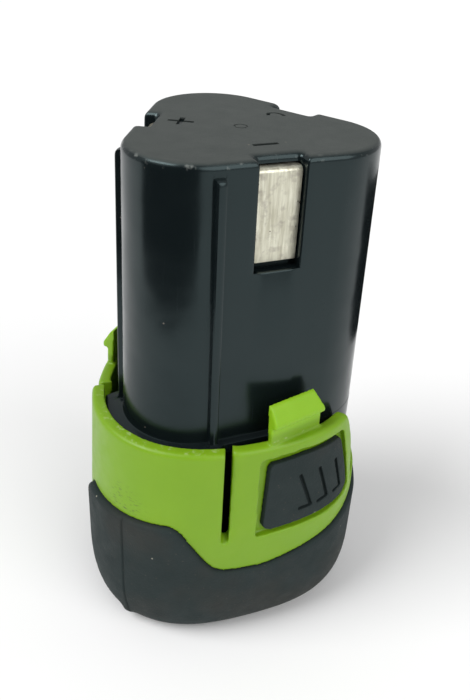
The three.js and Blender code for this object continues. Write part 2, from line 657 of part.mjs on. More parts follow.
function thermistor() {
  const bead = turned([[0.5, 0], [0.5, 0.9], [1.1, 1.3], [1.2, 2], [1, 2.8], [0.5, 3.2]], 0, 0, 14);
  const mesh = part('thermistor', bead, 'black');
  mesh.position.set(-4.2, 8.2, PART_Z);
  return mesh;
}

// Insulated wire down the gap between two cells, turned outward to its terminal tail.
function cuspWire(name, flat, look) {
  const points = [[WIRE_AP, WIRE_Z0], [WIRE_AP, 45], [WIRE_AP, 79.6], [WIRE_AP + 0.5, 80.9], [CONTACT_TAIL - 0.4, 81.4]];
  const loops = points.map(([out, z], k) => {
    const [o0, z0] = points[Math.max(0, k - 1)];
    const [o1, z1] = points[Math.min(points.length - 1, k + 1)];
    const lean = Math.atan2(o1 - o0, z1 - z0);
    return circle(WIRE_R, 10).map(([u, v]) => {
      const [x, y] = along(flat, out + u * Math.cos(lean), v);
      return [x, y, z - u * Math.sin(lean)];
    });
  });
  return part(name, wireSkin(loops), look);
}

// Skin whose caps are fans, for loops that aren't level.
function wireSkin(loops) {
  const level = loops.map((loop, k) => atHeight(circle(1, loop.length), k));
  const geometry = skin(level);
  geometry.setAttribute('position', new THREE.Float32BufferAttribute(loops.flat(2), 3));
  return geometry;
}

const straightWire = (name, x, y, z1, radius, look) =>
  part(name, turned([[radius, WIRE_Z0], [radius, z1]], x, y, 10), look);

function screw(number, flat) {
  const drive = toSolid(turned([[0.9, SCREW_HEAD_Z0 - 1], [0.9, SCREW_HEAD_Z0 + 0.8]], 0, 0, 6));
  const body = toSolid(turned([[SCREW_HEAD_R - 0.3, SCREW_HEAD_Z0], [SCREW_HEAD_R, SCREW_HEAD_Z0 + 0.3],
    [SCREW_HEAD_R, SCREW_HEAD_Z1], [SCREW_R, SCREW_HEAD_Z1], [SCREW_R, SCREW_Z1 - 1.5], [0.3, SCREW_Z1]], 0, 0, 16));
  const mesh = part(`case_screw_${number}`, body.subtract(drive), 'steel');
  const [x, y] = along(flat, POST_R);
  mesh.position.set(x, y, 0);
  return mesh;
}

// ---- assembly ---------------------------------------------------------------------------------

function latch(side, flip) {
  const group = new THREE.Group();
  group.name = `latch_${side}`;
  const arm = latchArm();
  const pad = gripPad();
  group.add(part(`latch_arm_${side}`, flip ? mirrored(arm) : arm, 'collar'));
  group.add(part(`grip_pad_${side}`, flip ? mirrored(pad) : pad, 'soft'));
  return group;
}

function wiring() {
  return [
    cuspWire('wire_negative', FLATS[0], 'black'),
    cuspWire('wire_positive', FLATS[1], 'red'),
    cuspWire('wire_signal', FLATS[2], 'yellow'),
    straightWire('wire_sense_1', 0, 0, 79.2, WIRE_R, 'white'),
    straightWire('wire_sense_2', 0, 5.4, 13.15, WIRE_R, 'white'),
    straightWire('lead_battery_negative', 0, -6, 13.15, WIRE_R, 'steel'),
  ];
}

function boardParts() {
  return [
    chip('mosfet_charge', -4.5, -11.5, 5, 6, 1.2),
    chip('mosfet_discharge', 4.5, -11.5, 5, 6, 1.2),
    chip('controller_chip', 10.5, 6, 5, 4.4, 1.4, 30),
    chip('current_shunt', 0, -17, 6.4, 3.2, 0.8),
    capacitor('capacitor_1', -11, 8.5),
    capacitor('capacitor_2', -8.6, 3.4),
    thermistor(),
  ];
}

const drillBatteryPack = new THREE.Group();
drillBatteryPack.name = 'drill_battery_pack';
drillBatteryPack.add(
  towerHousing(),
  collarRing(),
  baseCup(),
  latch('right', false),
  latch('left', true),
  contact('contact_negative', FLATS[0]),
  contact('contact_positive', FLATS[1]),
  contact('contact_signal', FLATS[2]),
  cell(1, LOBES[0], true),
  cell(2, LOBES[1], false),
  cell(3, LOBES[2], true),
  cellCarrier(),
  ...strips(),
  protectionBoard(),
  ...boardParts(),
  ...wiring(),
  ...FLATS.map((flat, k) => screw(k + 1, flat)),
  part('foam_pad_top', turned([[7.6, 80.1], [7.6, 83.5]], 0, 0, 32), 'foam'),
);

export default drillBatteryPack;
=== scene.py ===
import json
import math

import bmesh
import bpy
import numpy as np
from mathutils import Matrix, Vector


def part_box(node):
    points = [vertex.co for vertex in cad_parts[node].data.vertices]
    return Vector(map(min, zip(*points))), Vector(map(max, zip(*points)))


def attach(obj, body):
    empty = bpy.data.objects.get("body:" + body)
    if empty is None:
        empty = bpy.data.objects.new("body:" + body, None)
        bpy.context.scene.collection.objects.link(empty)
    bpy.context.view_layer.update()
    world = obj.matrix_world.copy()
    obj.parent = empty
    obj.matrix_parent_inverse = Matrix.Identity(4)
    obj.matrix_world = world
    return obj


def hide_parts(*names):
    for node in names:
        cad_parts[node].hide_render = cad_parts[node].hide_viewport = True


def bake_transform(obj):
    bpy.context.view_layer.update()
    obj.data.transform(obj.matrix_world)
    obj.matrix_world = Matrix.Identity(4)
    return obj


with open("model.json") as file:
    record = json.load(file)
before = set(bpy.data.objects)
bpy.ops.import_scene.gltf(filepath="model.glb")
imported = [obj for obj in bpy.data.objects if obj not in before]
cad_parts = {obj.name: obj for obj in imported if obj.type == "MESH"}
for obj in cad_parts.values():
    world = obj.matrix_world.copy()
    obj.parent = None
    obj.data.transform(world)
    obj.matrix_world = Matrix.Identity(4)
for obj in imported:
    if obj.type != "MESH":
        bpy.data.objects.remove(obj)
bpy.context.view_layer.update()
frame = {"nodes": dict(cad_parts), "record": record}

MM = 0.001
ROOT = "pack_body"


def node_mm(node):
    """Lowest and highest corner of a CAD node, in millimetres."""
    low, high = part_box(node)
    return np.array(low) / MM, np.array(high) / MM


TOWER_LOW, TOWER_HIGH = node_mm("tower_housing")
COLLAR_HIGH = node_mm("collar_ring")[1]
CONTACT_LOW, CONTACT_HIGH = node_mm("contact_signal")

# Tower: three lobes joined by flats. The driving sizes are those of the CAD part.
FLATS = (-30.0, 90.0, 210.0)
SLOT_SIDES = {-30.0: "contact_negative", 90.0: "contact_signal", 210.0: "contact_positive"}
PITCH = 10.85
LOBE_R = 11.15
TAPER = 0.8
TAPER_Z0 = 33.0
TOWER_Z0, TOWER_TOP = TOWER_LOW[2], TOWER_HIGH[2]
CAVITY_R, CAVITY_TOP = 9.5, 83.8
TOP_EDGE = 1.1
FLANGE_Z0, FLANGE_Z1 = 37.6, 39.6
# Beside the latches the skirt is a straight edge this far out, and stays this far behind the collar.
SKIRT_FLAT, SKIRT_LATCH_GAP = 18.0, 2.3
RIB_PROUD, RIB_TOP, RIB_HALF_W = 1.1, 83.0, 1.2
SLOT_Z0, SLOT_BACK, SLOT_HALF_W = 68.3, 13.4, 3.6
SLOT_WALL_BACK, SLOT_WALL_HALF_W, SLOT_WALL_Z0 = 12.6, 4.6, 67.2
SLIT_Z0, SLIT_Z1, SLIT_HALF_W = 82.55, 83.7, 3.55
POST_R, BOSS_R, BOSS_HOLE_R = 12.75, 2.3, 1.55
BOSS_TOP, BOSS_HOLE_TOP = 30.0, 25.0
MARK_R, MARK_DEPTH = 9.2, 0.4
GATE_R, GATE_INNER_R, GATE_DEPTH = 1.1, 0.85, 0.1
CLEARANCE = 0.3  # between the tower and what stands round it

# Collar, latches and base. Outline radius = sum of form[k] * cos(k * angle from the front).
COLLAR_TOP_FORM = (22.91, 2.71, -0.81, 1.49, 0.17)
BASE_FORM = (24.22, 3.24, -0.92, 1.81, 0.38)
REAR_COVER = 2.3
COLLAR_TOP, COLLAR_REAR_TOP = COLLAR_HIGH[2], 27.5
COLLAR_LOW, COLLAR_INSET, COLLAR_WALL = 24.0, 0.8, 2.1
# (angle on the right-hand side, height) of the line between collar and base cup; the front is -90.
SEAM_LINE = ((-90, 26.5), (-69, 26.7), (-57, 17.8), (-52, 16.5), (-34, 16.1), (-22, 17.2), (-4, 18.9),
             (6, 20.2), (14, 21.9), (20, 22.4), (34, 24.0), (90, 24.5))
SEAM_GAP = 0.1
# Angle of the right latch's middle, and the angles from it to its edge and to its slot's middle and far side.
LATCH = -16.2
LATCH_HALF, SLOT_MIDDLE, SLOT_HALF = 33.6, 35.1, 36.6
LATCH_Z0, LATCH_TOP = 22.4, 40.6
# (angle from the latch's middle, height) of its top, whose rear corner is taken off.
LATCH_TOP_LINE = ((24.6, LATCH_TOP), (25.6, 40.2), (27.4, 38.6), (30.2, 35.4), (32.2, 32.0), (33.6, 28.8))
LATCH_SLOT_Z0, REAR_SLOT_Z0 = 22.7, 24.3
SLOT_SCOOP, SLOT_CORNER = 0.9, 0.9  # how far a slot's floor rises inward and towards its sides
COLLAR_EDGE, SLOT_EDGE = 0.75, 0.15
LATCH_EDGE_RUN, LATCH_EDGE_DROP = 3.4, 0.6
LATCH_CUT_Z, LATCH_BEND_Z = 26.2, 31.0  # where the latch leaves the ring, and where it has its whole swing
LATCH_RECESS = 0.8
LATCH_OUT, THROUGH_LATCH = 23.0, (12, 36)
SWING = math.radians(2.5)
BASE_FLARE_Z, BASE_FOOT_INSET, BASE_FOOT_REAR = 12.0, 6.5, 0.4
BASE_WALL, BASE_FLOOR, BASE_EDGE = 2.4, 2.4, 0.75
POST_FOOT_R, POST_FOOT_TOP, POST_TOP_R, POST_TOP = 3.6, 5.7, 2.7, 13.7
SCREW_BORE_R, SCREW_BORE_TOP = 2.7, 2.8
PARTING = -88.0
COLLAR_VOXEL, PAD_VOXEL = 0.22, 0.13


# ---- outlines ---------------------------------------------------------------------------------

def direction(degrees):
    return np.array([math.cos(math.radians(degrees)), math.sin(math.radians(degrees))])


def across(degrees):
    return direction(degrees + 90)


def along(degrees, out, side=0.0):
    return direction(degrees) * out + across(degrees) * side


def wrap(degrees):
    return (np.asarray(degrees, float) + 180) % 360 - 180


def smooth(x):
    x = np.clip(x, 0, 1)
    return x * x * (3 - 2 * x)


def lobe_radius(z):
    return LOBE_R - TAPER * np.maximum(0.0, z - TAPER_Z0) / (TOWER_TOP - TAPER_Z0)


def trefoil(angles, lobe_r):
    """Radius of the three-lobed outline at each angle."""
    off = 60 - np.abs(wrap(3 * (np.asarray(angles) - 90)) / 3)
    flat = PITCH / 2 + lobe_r
    tangent = np.degrees(np.arctan2(PITCH * math.sin(math.radians(60)), flat))
    turn = np.radians(off)
    on_flat = flat / np.cos(np.radians(60) - turn)
    side = PITCH * np.sin(turn)
    on_lobe = PITCH * np.cos(turn) + np.sqrt(np.maximum(lobe_r**2 - side**2, 0))
    return np.where(60 - off < tangent, on_flat, on_lobe)


def form(coefficients, angles):
    turn = np.radians(np.asarray(angles) + 90)
    return sum(c * np.cos(k * turn) for k, c in enumerate(coefficients))


def soft_max(a, b, blend):
    """The larger of two radii, eased together where they cross."""
    share = np.clip(0.5 + 0.5 * (a - b) / blend, 0, 1)
    return b * (1 - share) + a * share + blend * share * (1 - share)


def base_radius(angles):
    return soft_max(form(BASE_FORM, angles), trefoil(angles, LOBE_R) + REAR_COVER, 1.0)


def collar_radius(angles, z):
    mix = np.clip((COLLAR_TOP - z) / (COLLAR_TOP - COLLAR_LOW), 0, 1)
    low = base_radius(angles) - COLLAR_INSET
    return form(COLLAR_TOP_FORM, angles) * (1 - mix) + low * mix


def right_angle(angles):
    """The same angle on the right-hand side, from -90 at the front to 90 at the rear."""
    return 90 - np.abs(wrap(np.asarray(angles) - 90))


def latch_off(angles):
    """Signed angle from the latch on the same side, positive to the rear."""
    return right_angle(angles) - LATCH


def seam_height(angles):
    """Height of the line between collar and base cup, with its corners rounded."""
    spread = np.linspace(-3.2, 3.2, 13)
    return np.mean([np.interp(right_angle(np.asarray(angles) + d), *zip(*SEAM_LINE)) for d in spread], axis=0)


# ---- meshes -----------------------------------------------------------------------------------

def mesh(name, points, faces):
    data = bpy.data.meshes.new(name)
    data.from_pydata([tuple(np.asarray(p, float) * MM) for p in points], [], faces)
    data.update()
    obj = bpy.data.objects.new(name, data)
    bpy.context.scene.collection.objects.link(obj)
    return obj


def level(loop, z):
    loop = np.asarray(loop, float)
    return np.column_stack([loop, np.broadcast_to(z, len(loop))])


def skin(name, loops, ring=False):
    """Closed mesh through equal loops. A ring joins its last loop to its first, anything else is capped."""
    count = len(loops[0])
    last = len(loops) if ring else len(loops) - 1
    faces = []
    for k in range(last):
        a, b = k * count, (k + 1) % len(loops) * count
        for i in range(count):
            j = (i + 1) % count
            faces.append((a + i, a + j, b + j, b + i))
    if not ring:
        faces.append(tuple(range(count - 1, -1, -1)))
        faces.append(tuple(range((len(loops) - 1) * count, len(loops) * count)))
    return mesh(name, np.concatenate(loops), faces)


def turned(name, profile, centre=(0.0, 0.0), steps=48):
    """Round body; profile is (radius, z) pairs, bottom first."""
    turn = np.linspace(0, 2 * math.pi, steps, endpoint=False)
    circle = np.column_stack([np.cos(turn), np.sin(turn)])
    return skin(name, [level(circle * radius + centre, z) for radius, z in profile])


def prism(name, outline, place):
    """Straight body from an outline of (u, v) pairs; place(u, v, end) gives the point for end 0 and 1."""
    return skin(name, [np.array([place(u, v, end) for u, v in outline]) for end in (0, 1)])


def outward(obj):
    work = bmesh.new()
    work.from_mesh(obj.data)
    bmesh.ops.recalc_face_normals(work, faces=work.faces)
    work.to_mesh(obj.data)
    work.free()
    return obj


def apply_modifiers(obj):
    bpy.context.view_layer.update()
    shaped = bpy.data.meshes.new_from_object(obj.evaluated_get(bpy.context.evaluated_depsgraph_get()))
    obj.modifiers.clear()
    obj.data = shaped
    return obj


def combine(obj, tools, operation):
    for tool in tools:
        outward(tool)
        step = obj.modifiers.new(operation.title(), "BOOLEAN")
        step.operation = operation
        step.solver = "EXACT"
        step.object = tool
        apply_modifiers(obj)
        bpy.data.objects.remove(tool)
    return obj


def cut(obj, *tools):
    return combine(obj, tools, "DIFFERENCE")


def join(obj, *tools):
    return combine(obj, tools, "UNION")


def melt(obj, voxel, rounds):
    """Fuses a body at a voxel size in millimetres, and rounds its edges as moulding does."""
    remesh = obj.modifiers.new("Remesh", "REMESH")
    remesh.mode = "VOXEL"
    remesh.voxel_size = voxel * MM
    soften = obj.modifiers.new("Smooth", "SMOOTH")
    soften.factor = 0.5
    soften.iterations = rounds
    return apply_modifiers(obj)


def shade(obj, angle=None):
    obj.data.shade_smooth()
    if angle:
        obj.data.set_sharp_from_angle(angle=math.radians(angle))
    return obj


def dress(obj, look, nodes, body=ROOT):
    obj.data.materials.clear()
    obj.data.materials.append(look)
    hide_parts(*nodes)
    if body:
        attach(obj, body)
    return obj


# ---- tower ------------------------------------------------------------------------------------

# (side, share of its height) of one half of a rib, and the side of each flat that has one.
RIB_PROFILE = ((-RIB_HALF_W, 0), (-0.97, 0), (-0.84, 0.07), (-0.77, 0.25), (-0.74, 0.7), (-0.68, 0.9),
               (-0.5, 1))
RIBS = {-30.0: -1, 210.0: 1}
LOBE_STEPS = 40
FLAT_STEPS = 5


def groove_outline(half_w, back, face):
    """(side, out) of one half of a terminal groove, from the flat to its back wall."""
    corner = 0.35
    turn = np.radians(np.linspace(0, 90, 5))
    lip = [(-half_w - corner * (1 - math.sin(t)), face - corner * (1 - math.cos(t))) for t in turn]
    foot = [(-half_w, back + 0.9), (-half_w + 0.06, back + 0.55), (-half_w + 0.25, back + 0.25)]
    return lip + foot + [(-half_w + 0.55, back + 0.06), (-half_w + 0.9, back), (-half_w * 0.4, back)]


def flat_outline(flat, lobe_r, groove, rib, half_w, back):
    """Outline along one flat as (side, out), from one lobe to the next."""
    face = PITCH / 2 + lobe_r
    tangent = PITCH * math.sin(math.radians(60))

    def rest(side):
        past = max(0.0, abs(side) - tangent)
        return PITCH / 2 + math.sqrt(lobe_r**2 - past**2)

    profile = [*RIB_PROFILE, (0, 1), *[(-u, h) for u, h in reversed(RIB_PROFILE)]]
    ends = []
    for sign in (-1, 1):
        high = rib if RIBS.get(flat) == sign else 0
        sides = [sign * tangent + u for u, _ in profile]
        ends.append([(side, rest(side) + h * high * RIB_PROUD) for side, (_, h) in zip(sides, profile)])
    deep = groove_outline(half_w, back, face)
    plain = np.linspace(-half_w - 0.6, -half_w * 0.4, len(deep))
    half = [(side * (1 - groove) + deep_side * groove, face * (1 - groove) + deep_out * groove)
            for side, (deep_side, deep_out) in zip(plain, deep)]
    start = tangent - RIB_HALF_W
    between = [(s, face) for s in np.linspace(-start, half[0][0], FLAT_STEPS)[1:-1]]
    left = between + half
    right = [(-s, out) for s, out in reversed(left)]
    return ends[0] + left + right + ends[1]


def tower_outline(lobe_r, groove=0.0, rib=0.0, inset=0.0, half_w=SLOT_HALF_W, back=SLOT_BACK):
    """Whole outline of the tower, counter-clockwise. inset moves every wall inward."""
    lobe_r = lobe_r - inset
    half_w, back = half_w + inset * groove, back - inset * groove
    gap = math.degrees(math.asin(RIB_HALF_W / lobe_r))
    points = []
    for flat in FLATS:
        stretch = flat_outline(flat, lobe_r, groove, rib, half_w, back)
        points += [along(flat, out, side) for side, out in stretch]
        centre = along(flat + 60, PITCH)
        for turn in np.linspace(flat + gap, flat + 120 - gap, LOBE_STEPS)[1:-1]:
            points.append(centre + direction(turn) * lobe_r)
    return np.array(points)


def flange_outline(inset=0.0):
    """The tower's skirt, which fills the front of the collar and stays clear of the latches."""
    outline = tower_outline(lobe_radius(FLANGE_Z0), rib=1)
    angles = np.degrees(np.arctan2(outline[:, 1], outline[:, 0]))
    room = collar_inner(angles, FLANGE_Z0, False) - CLEARANCE
    off = latch_off(angles)
    flat_off = np.radians(np.minimum(np.abs(right_angle(angles) + 30), 60))
    limit = np.minimum(SKIRT_FLAT / np.cos(flat_off), room - SKIRT_LATCH_GAP)
    edge = np.where(off < -SLOT_HALF - 1, room, limit) - inset
    tower = np.hypot(*outline.T)
    edge = np.where(off > 0, tower, np.maximum(edge, tower))
    return np.column_stack([edge * np.cos(np.radians(angles)), edge * np.sin(np.radians(angles))])


def skirt_fillet(z, spread):
    """Tower outline just above the skirt, widened a little where the skirt shows."""
    plain = tower_outline(lobe_radius(z), rib=1)
    wide = tower_outline(lobe_radius(z), rib=1, inset=-spread)
    in_front = latch_off(np.degrees(np.arctan2(plain[:, 1], plain[:, 0]))) < 0
    return level(np.where(in_front[:, None], wide, plain), z)


def tower_levels():
    inner_walls = {"half_w": SLOT_WALL_HALF_W, "back": SLOT_WALL_BACK}
    levels = [
        level(tower_outline(CAVITY_R, groove=1, **inner_walls), CAVITY_TOP),
        level(tower_outline(CAVITY_R, groove=1, **inner_walls), SLOT_WALL_Z0),
        level(tower_outline(CAVITY_R, **inner_walls), SLOT_WALL_Z0 - 0.01),
        level(tower_outline(CAVITY_R, **inner_walls), TOWER_Z0),
        level(tower_outline(LOBE_R), TOWER_Z0),
        level(tower_outline(lobe_radius(FLANGE_Z0)), FLANGE_Z0 - 0.01),
        level(flange_outline(0.3), FLANGE_Z0),
        level(flange_outline(), FLANGE_Z0 + 0.3),
        level(flange_outline(), FLANGE_Z1 - 0.4),
        level(flange_outline(0.12), FLANGE_Z1 - 0.12),
        level(flange_outline(0.4), FLANGE_Z1),
    ]
    for rise, spread in ((0.01, 0.5), (0.15, 0.15), (0.5, 0.0)):
        levels.append(skirt_fillet(FLANGE_Z1 + rise, spread))
    for z in (54.0, SLOT_Z0 - 0.35):
        levels.append(level(tower_outline(lobe_radius(z), rib=1), z))
    for drop, groove in ((0.1, 0.05), (0.0, 0.16), (-0.01, 1.0)):
        z = SLOT_Z0 - drop
        levels.append(level(tower_outline(lobe_radius(z), groove=groove, rib=1), z))
    for drop, rib in ((0.9, 1.0), (0.45, 0.94), (0.2, 0.8), (0.06, 0.6), (0.0, 0.3), (-0.02, 0.0)):
        z = RIB_TOP - drop
        levels.append(level(tower_outline(lobe_radius(z), groove=1, rib=rib), z))
    for turn in np.radians(np.linspace(0, 90, 8)):
        z = TOWER_TOP - TOP_EDGE * (1 - math.sin(turn))
        inset = TOP_EDGE * (1 - math.cos(turn))
        levels.append(level(tower_outline(lobe_radius(TOWER_TOP), groove=1, inset=inset), z))
    levels.append(level(tower_outline(lobe_radius(TOWER_TOP), groove=1, inset=TOP_EDGE + 0.06), TOWER_TOP))
    return levels


def mark(outline, turn, out):
    """Cutter for a mark sunk in the top face; its walls lean a little."""
    loops = []
    for z, grow in ((TOWER_TOP - MARK_DEPTH, 1.0), (TOWER_TOP + MARK_DEPTH, 1.12)):
        loops.append(level([along(turn, out + u * grow, v * grow) for u, v in outline], z))
    return skin("mark", loops)


def top_marks():
    width, length = 0.4, 1.9
    minus = [(-width, -length), (width, -length), (width, length), (-width, length)]
    plus = []
    for quarter in (0, 90, 180, 270):
        for u, v in ((width, width), (width, length), (-width, length)):
            plus.append(tuple(along(quarter, u, v)))
    arc = np.radians(np.linspace(-60, 150, 12))
    bracket = [(1.3 * math.cos(t), 1.6 * math.sin(t)) for t in arc]
    bracket += [(0.7 * math.cos(t), 1.0 * math.sin(t)) for t in reversed(arc)]
    marks = ((minus, FLATS[0]), (plus, FLATS[2]), (bracket, FLATS[1]))
    return [*[mark(outline, flat, MARK_R) for outline, flat in marks], gate()]


def gate():
    """Cutter for the small moulding circle in the middle of the top face."""
    circle = np.array([direction(a) for a in range(0, 360, 10)])
    low, high = TOWER_TOP - GATE_DEPTH, TOWER_TOP + 1
    profile = ((GATE_R, low), (GATE_R, high), (GATE_INNER_R, high), (GATE_INNER_R, low))
    return skin("gate", [level(circle * radius, z) for radius, z in profile], ring=True)


def slit(flat):
    """Opening behind each terminal for its folded tail."""
    outline = [(11.3, -SLIT_HALF_W), (SLOT_BACK + 0.5, -SLIT_HALF_W), (SLOT_BACK + 0.5, SLIT_HALF_W),
               (11.3, SLIT_HALF_W)]
    loop = np.array([along(flat, out, side) for out, side in outline])
    return skin("slit", [level(loop, SLIT_Z0), level(loop, SLIT_Z1)])


def build_tower(look):
    tower = outward(skin("tower_shell", tower_levels()))
    bosses = [turned("boss", ((BOSS_R, TOWER_Z0), (BOSS_R, BOSS_TOP)), along(flat, POST_R)) for flat in FLATS]
    holes = [turned("hole", ((BOSS_HOLE_R, TOWER_Z0 - 1), (BOSS_HOLE_R, BOSS_HOLE_TOP)), along(flat, POST_R))
             for flat in FLATS]
    join(tower, *bosses)
    cut(tower, *holes, *[slit(flat) for flat in FLATS], *top_marks())
    return dress(shade(tower, 32), look, ["tower_housing"])


# ---- collar and latches -----------------------------------------------------------------------

SLOT_EDGES = [LATCH + sign * half for sign in (-1, 1) for half in (LATCH_HALF, SLOT_HALF)]
SLOT_STEPS = np.concatenate([edge + np.array([-0.01, 0.01]) for edge in SLOT_EDGES]
                            + [np.linspace(a, b, 12) for a, b in (SLOT_EDGES[:2], SLOT_EDGES[2:])])
ANGLES = np.unique(np.concatenate([np.arange(0, 360, 0.75), SLOT_STEPS % 360, (180 - SLOT_STEPS) % 360]))


def collar_inner(angles, z, latches=True):
    inner = np.maximum(collar_radius(angles, z) - COLLAR_WALL, trefoil(angles, lobe_radius(z)) + CLEARANCE)
    if not latches:
        return inner
    swing = np.maximum(0, z - LATCH_Z0) * math.sin(SWING) * np.cos(np.radians(latch_off(angles)))
    clear = trefoil(angles, lobe_radius(z)) + CLEARANCE + swing
    behind = np.maximum(collar_face(angles, z) - COLLAR_WALL, clear)
    return np.where(np.abs(latch_off(angles)) < SLOT_MIDDLE, behind, inner)


def collar_face(angles, z, inset=0.0):
    """Outer face of the collar, set back over the latches and rounded at their upright edges."""
    off = np.abs(latch_off(angles))
    set_back = LATCH_RECESS * np.clip((z - LATCH_Z0) / (COLLAR_TOP - LATCH_Z0), 0, 1)
    on_latch = 1 - smooth((off - LATCH_HALF) / (SLOT_HALF - LATCH_HALF))
    past = np.clip((off - LATCH_HALF + LATCH_EDGE_RUN) / LATCH_EDGE_RUN, 0, 1)
    drop = LATCH_EDGE_DROP * (1 - np.sqrt(1 - past**2))
    edge = drop * (off < SLOT_MIDDLE) * smooth((z - LATCH_SLOT_Z0) / 3)
    return collar_radius(angles, z) - set_back * on_latch - edge - inset


def polar(radii, z, angles=ANGLES):
    turn = np.radians(angles)
    return level(np.column_stack([radii * np.cos(turn), radii * np.sin(turn)]), z)


def latch_prism(name, outline, out0, out1):
    """Body along the right latch's direction, from an outline of (side, z)."""
    def place(side, z, end):
        return (*along(LATCH, (out0, out1)[end], side), z)
    return outward(prism(name, outline, place))


def copied(obj):
    twin = obj.copy()
    twin.data = obj.data.copy()
    bpy.context.scene.collection.objects.link(twin)
    return twin


def mirror(obj):
    twin = copied(obj)
    twin.name = obj.name + "_mirrored"
    for vertex in twin.data.vertices:
        vertex.co.x *= -1
    twin.data.flip_normals()
    return twin


# (side, z) outlines of the window that the pad sits in and of the pad.
PAD_WINDOW = ((-8.95, 23.2), (-8.6, 22.85), (5.4, 23.45), (10.4, 24.5), (11.2, 25.2), (11.3, 25.8),
              (10.1, 32.5), (8.9, 37.5), (8.6, 38.1), (8.0, 38.5), (-1.4, 38.75), (-7.6, 38.35), (-8.2, 38.0),
              (-8.4, 37.3))
PAD_OUTLINE = ((-7.65, 25.0), (-7.3, 24.2), (-6.4, 23.75), (-2.0, 24.1), (8.8, 24.7), (9.8, 25.1),
               (10.6, 25.8), (10.8, 26.5), (9.95, 30.0), (8.15, 36.4), (7.7, 37.1), (6.9, 37.4),
               (-0.5, 37.45), (-6.0, 37.05), (-6.5, 36.6), (-6.7, 36.0))
PAD_CENTRE_Z, PAD_HALF_HEIGHT = 30.8, 7.6
PAD_CENTRE_ANGLE, PAD_HALF_ANGLE = 3, 24


def face_slab(name, inset_outer, inset_inner, crown=0.0):
    """Slab that follows the right latch's face between two depths below it."""
    angles = LATCH + np.linspace(-33, 33, 76)
    loops = []
    for z in np.linspace(22.0, 39.6, 26):
        up = np.clip(1 - ((z - PAD_CENTRE_Z) / PAD_HALF_HEIGHT) ** 2, 0, 1)
        sideways = np.clip(1 - ((angles - LATCH - PAD_CENTRE_ANGLE) / PAD_HALF_ANGLE) ** 2, 0, 1)
        outer = collar_face(angles, z) - inset_outer + crown * np.sqrt(up * sideways)
        inner = collar_face(angles, z) - inset_inner
        loops.append(np.concatenate([polar(outer, z, angles), polar(inner, z, angles)[::-1]]))
    count = len(angles)
    slab = skin(name, loops)
    work = bmesh.new()
    work.from_mesh(slab.data)
    caps = [face for face in work.faces if len(face.verts) > 4]
    bmesh.ops.delete(work, geom=caps, context="FACES_ONLY")
    work.verts.ensure_lookup_table()
    for start in (0, (len(loops) - 1) * 2 * count):
        for i in range(count - 1):
            quad = [start + i, start + i + 1, start + 2 * count - 2 - i, start + 2 * count - 1 - i]
            work.faces.new([work.verts[v] for v in quad])
    bmesh.ops.recalc_face_normals(work, faces=work.faces)
    work.to_mesh(slab.data)
    work.free()
    return slab


def intersect(obj, tool):
    return combine(obj, [tool], "INTERSECT")


def pocket():
    window = latch_prism("window", PAD_WINDOW, *THROUGH_LATCH)
    return intersect(face_slab("pocket", -3.0, 1.25), window)


# (out, z) section of a latch's hook, and its two ends beside the latch's middle.
HOOK_PROFILE = ((19.9, 39.6), (21.0, 39.6), (20.85, 43.6), (21.0, 43.85), (21.6, 43.95), (21.75, 44.2),
                (21.7, 44.8), (20.3, 47.0), (19.9, 47.45), (19.4, 47.6))
HOOK_SIDES = (-6.5, 3.7)
HOOK_CORNER, HOOK_TAPER_Z, HOOK_TAPER_RUN = 1.1, 44.6, 2.4


def hook():
    """Catch on top of the latch; its rear end narrows towards the top."""
    def place(out, z, end):
        side = HOOK_SIDES[end] - end * HOOK_CORNER * smooth((z - HOOK_TAPER_Z) / HOOK_TAPER_RUN)
        return (*along(LATCH, out, side), z)
    return outward(prism("hook", HOOK_PROFILE, place))


def collar_tops():
    """Height of the top's outer and inner edge at each angle, with the scooped floors of the slots."""
    off = latch_off(ANGLES)
    latch_top = np.interp(off, *zip(*LATCH_TOP_LINE))
    top = np.where(np.abs(off) < SLOT_MIDDLE, latch_top, np.where(off > 0, COLLAR_REAR_TOP, COLLAR_TOP))
    from_middle = (np.abs(off) - SLOT_MIDDLE) / (SLOT_HALF - SLOT_MIDDLE)
    in_slot = np.abs(from_middle) < 1
    low = np.where(off > 0, REAR_SLOT_Z0, LATCH_SLOT_Z0)
    floor = low + SLOT_CORNER * (1 - np.sqrt(1 - np.clip(np.abs(from_middle), 0, 1) ** 4))
    return np.where(in_slot, floor, top), np.where(in_slot, floor + SLOT_SCOOP, top), in_slot


def collar_loops():
    outer_top, inner_top, in_slot = collar_tops()
    seam = seam_height(ANGLES) + SEAM_GAP
    edge = np.where(in_slot, SLOT_EDGE, COLLAR_EDGE)
    loops = []
    for share in np.linspace(0, 1, 16)[:-1]:
        z = seam + (outer_top - edge - seam) * share
        loops.append(polar(collar_face(ANGLES, z), z))
    for turn in np.radians(np.linspace(0, 90, 5)):
        z = outer_top - edge * (1 - math.sin(turn))
        loops.append(polar(collar_face(ANGLES, z, edge * (1 - math.cos(turn))), z))
    for share in np.linspace(1, 0, 12):
        z = seam + (inner_top - seam) * share
        loops.append(polar(collar_inner(ANGLES, z), z))
    return loops


def build_collar(look):
    """Ring and both latches as one moulding, then split where the latches start to bend."""
    ring = outward(skin("collar", collar_loops(), ring=True))
    window = pocket()
    cut(ring, mirror(window), window)
    hooks = hook()
    join(ring, mirror(hooks), hooks)
    melt(ring, COLLAR_VOXEL, 3)
    arms = {"right": keep_arm(ring, 1), "left": keep_arm(ring, -1)}
    drop_arms(ring)
    dress(shade(ring, 50), look, ["collar_ring"])
    for side, arm in arms.items():
        dress(shade(arm, 50), look, [f"latch_arm_{side}"], body=None)
        bend_with_latch(arm, side)


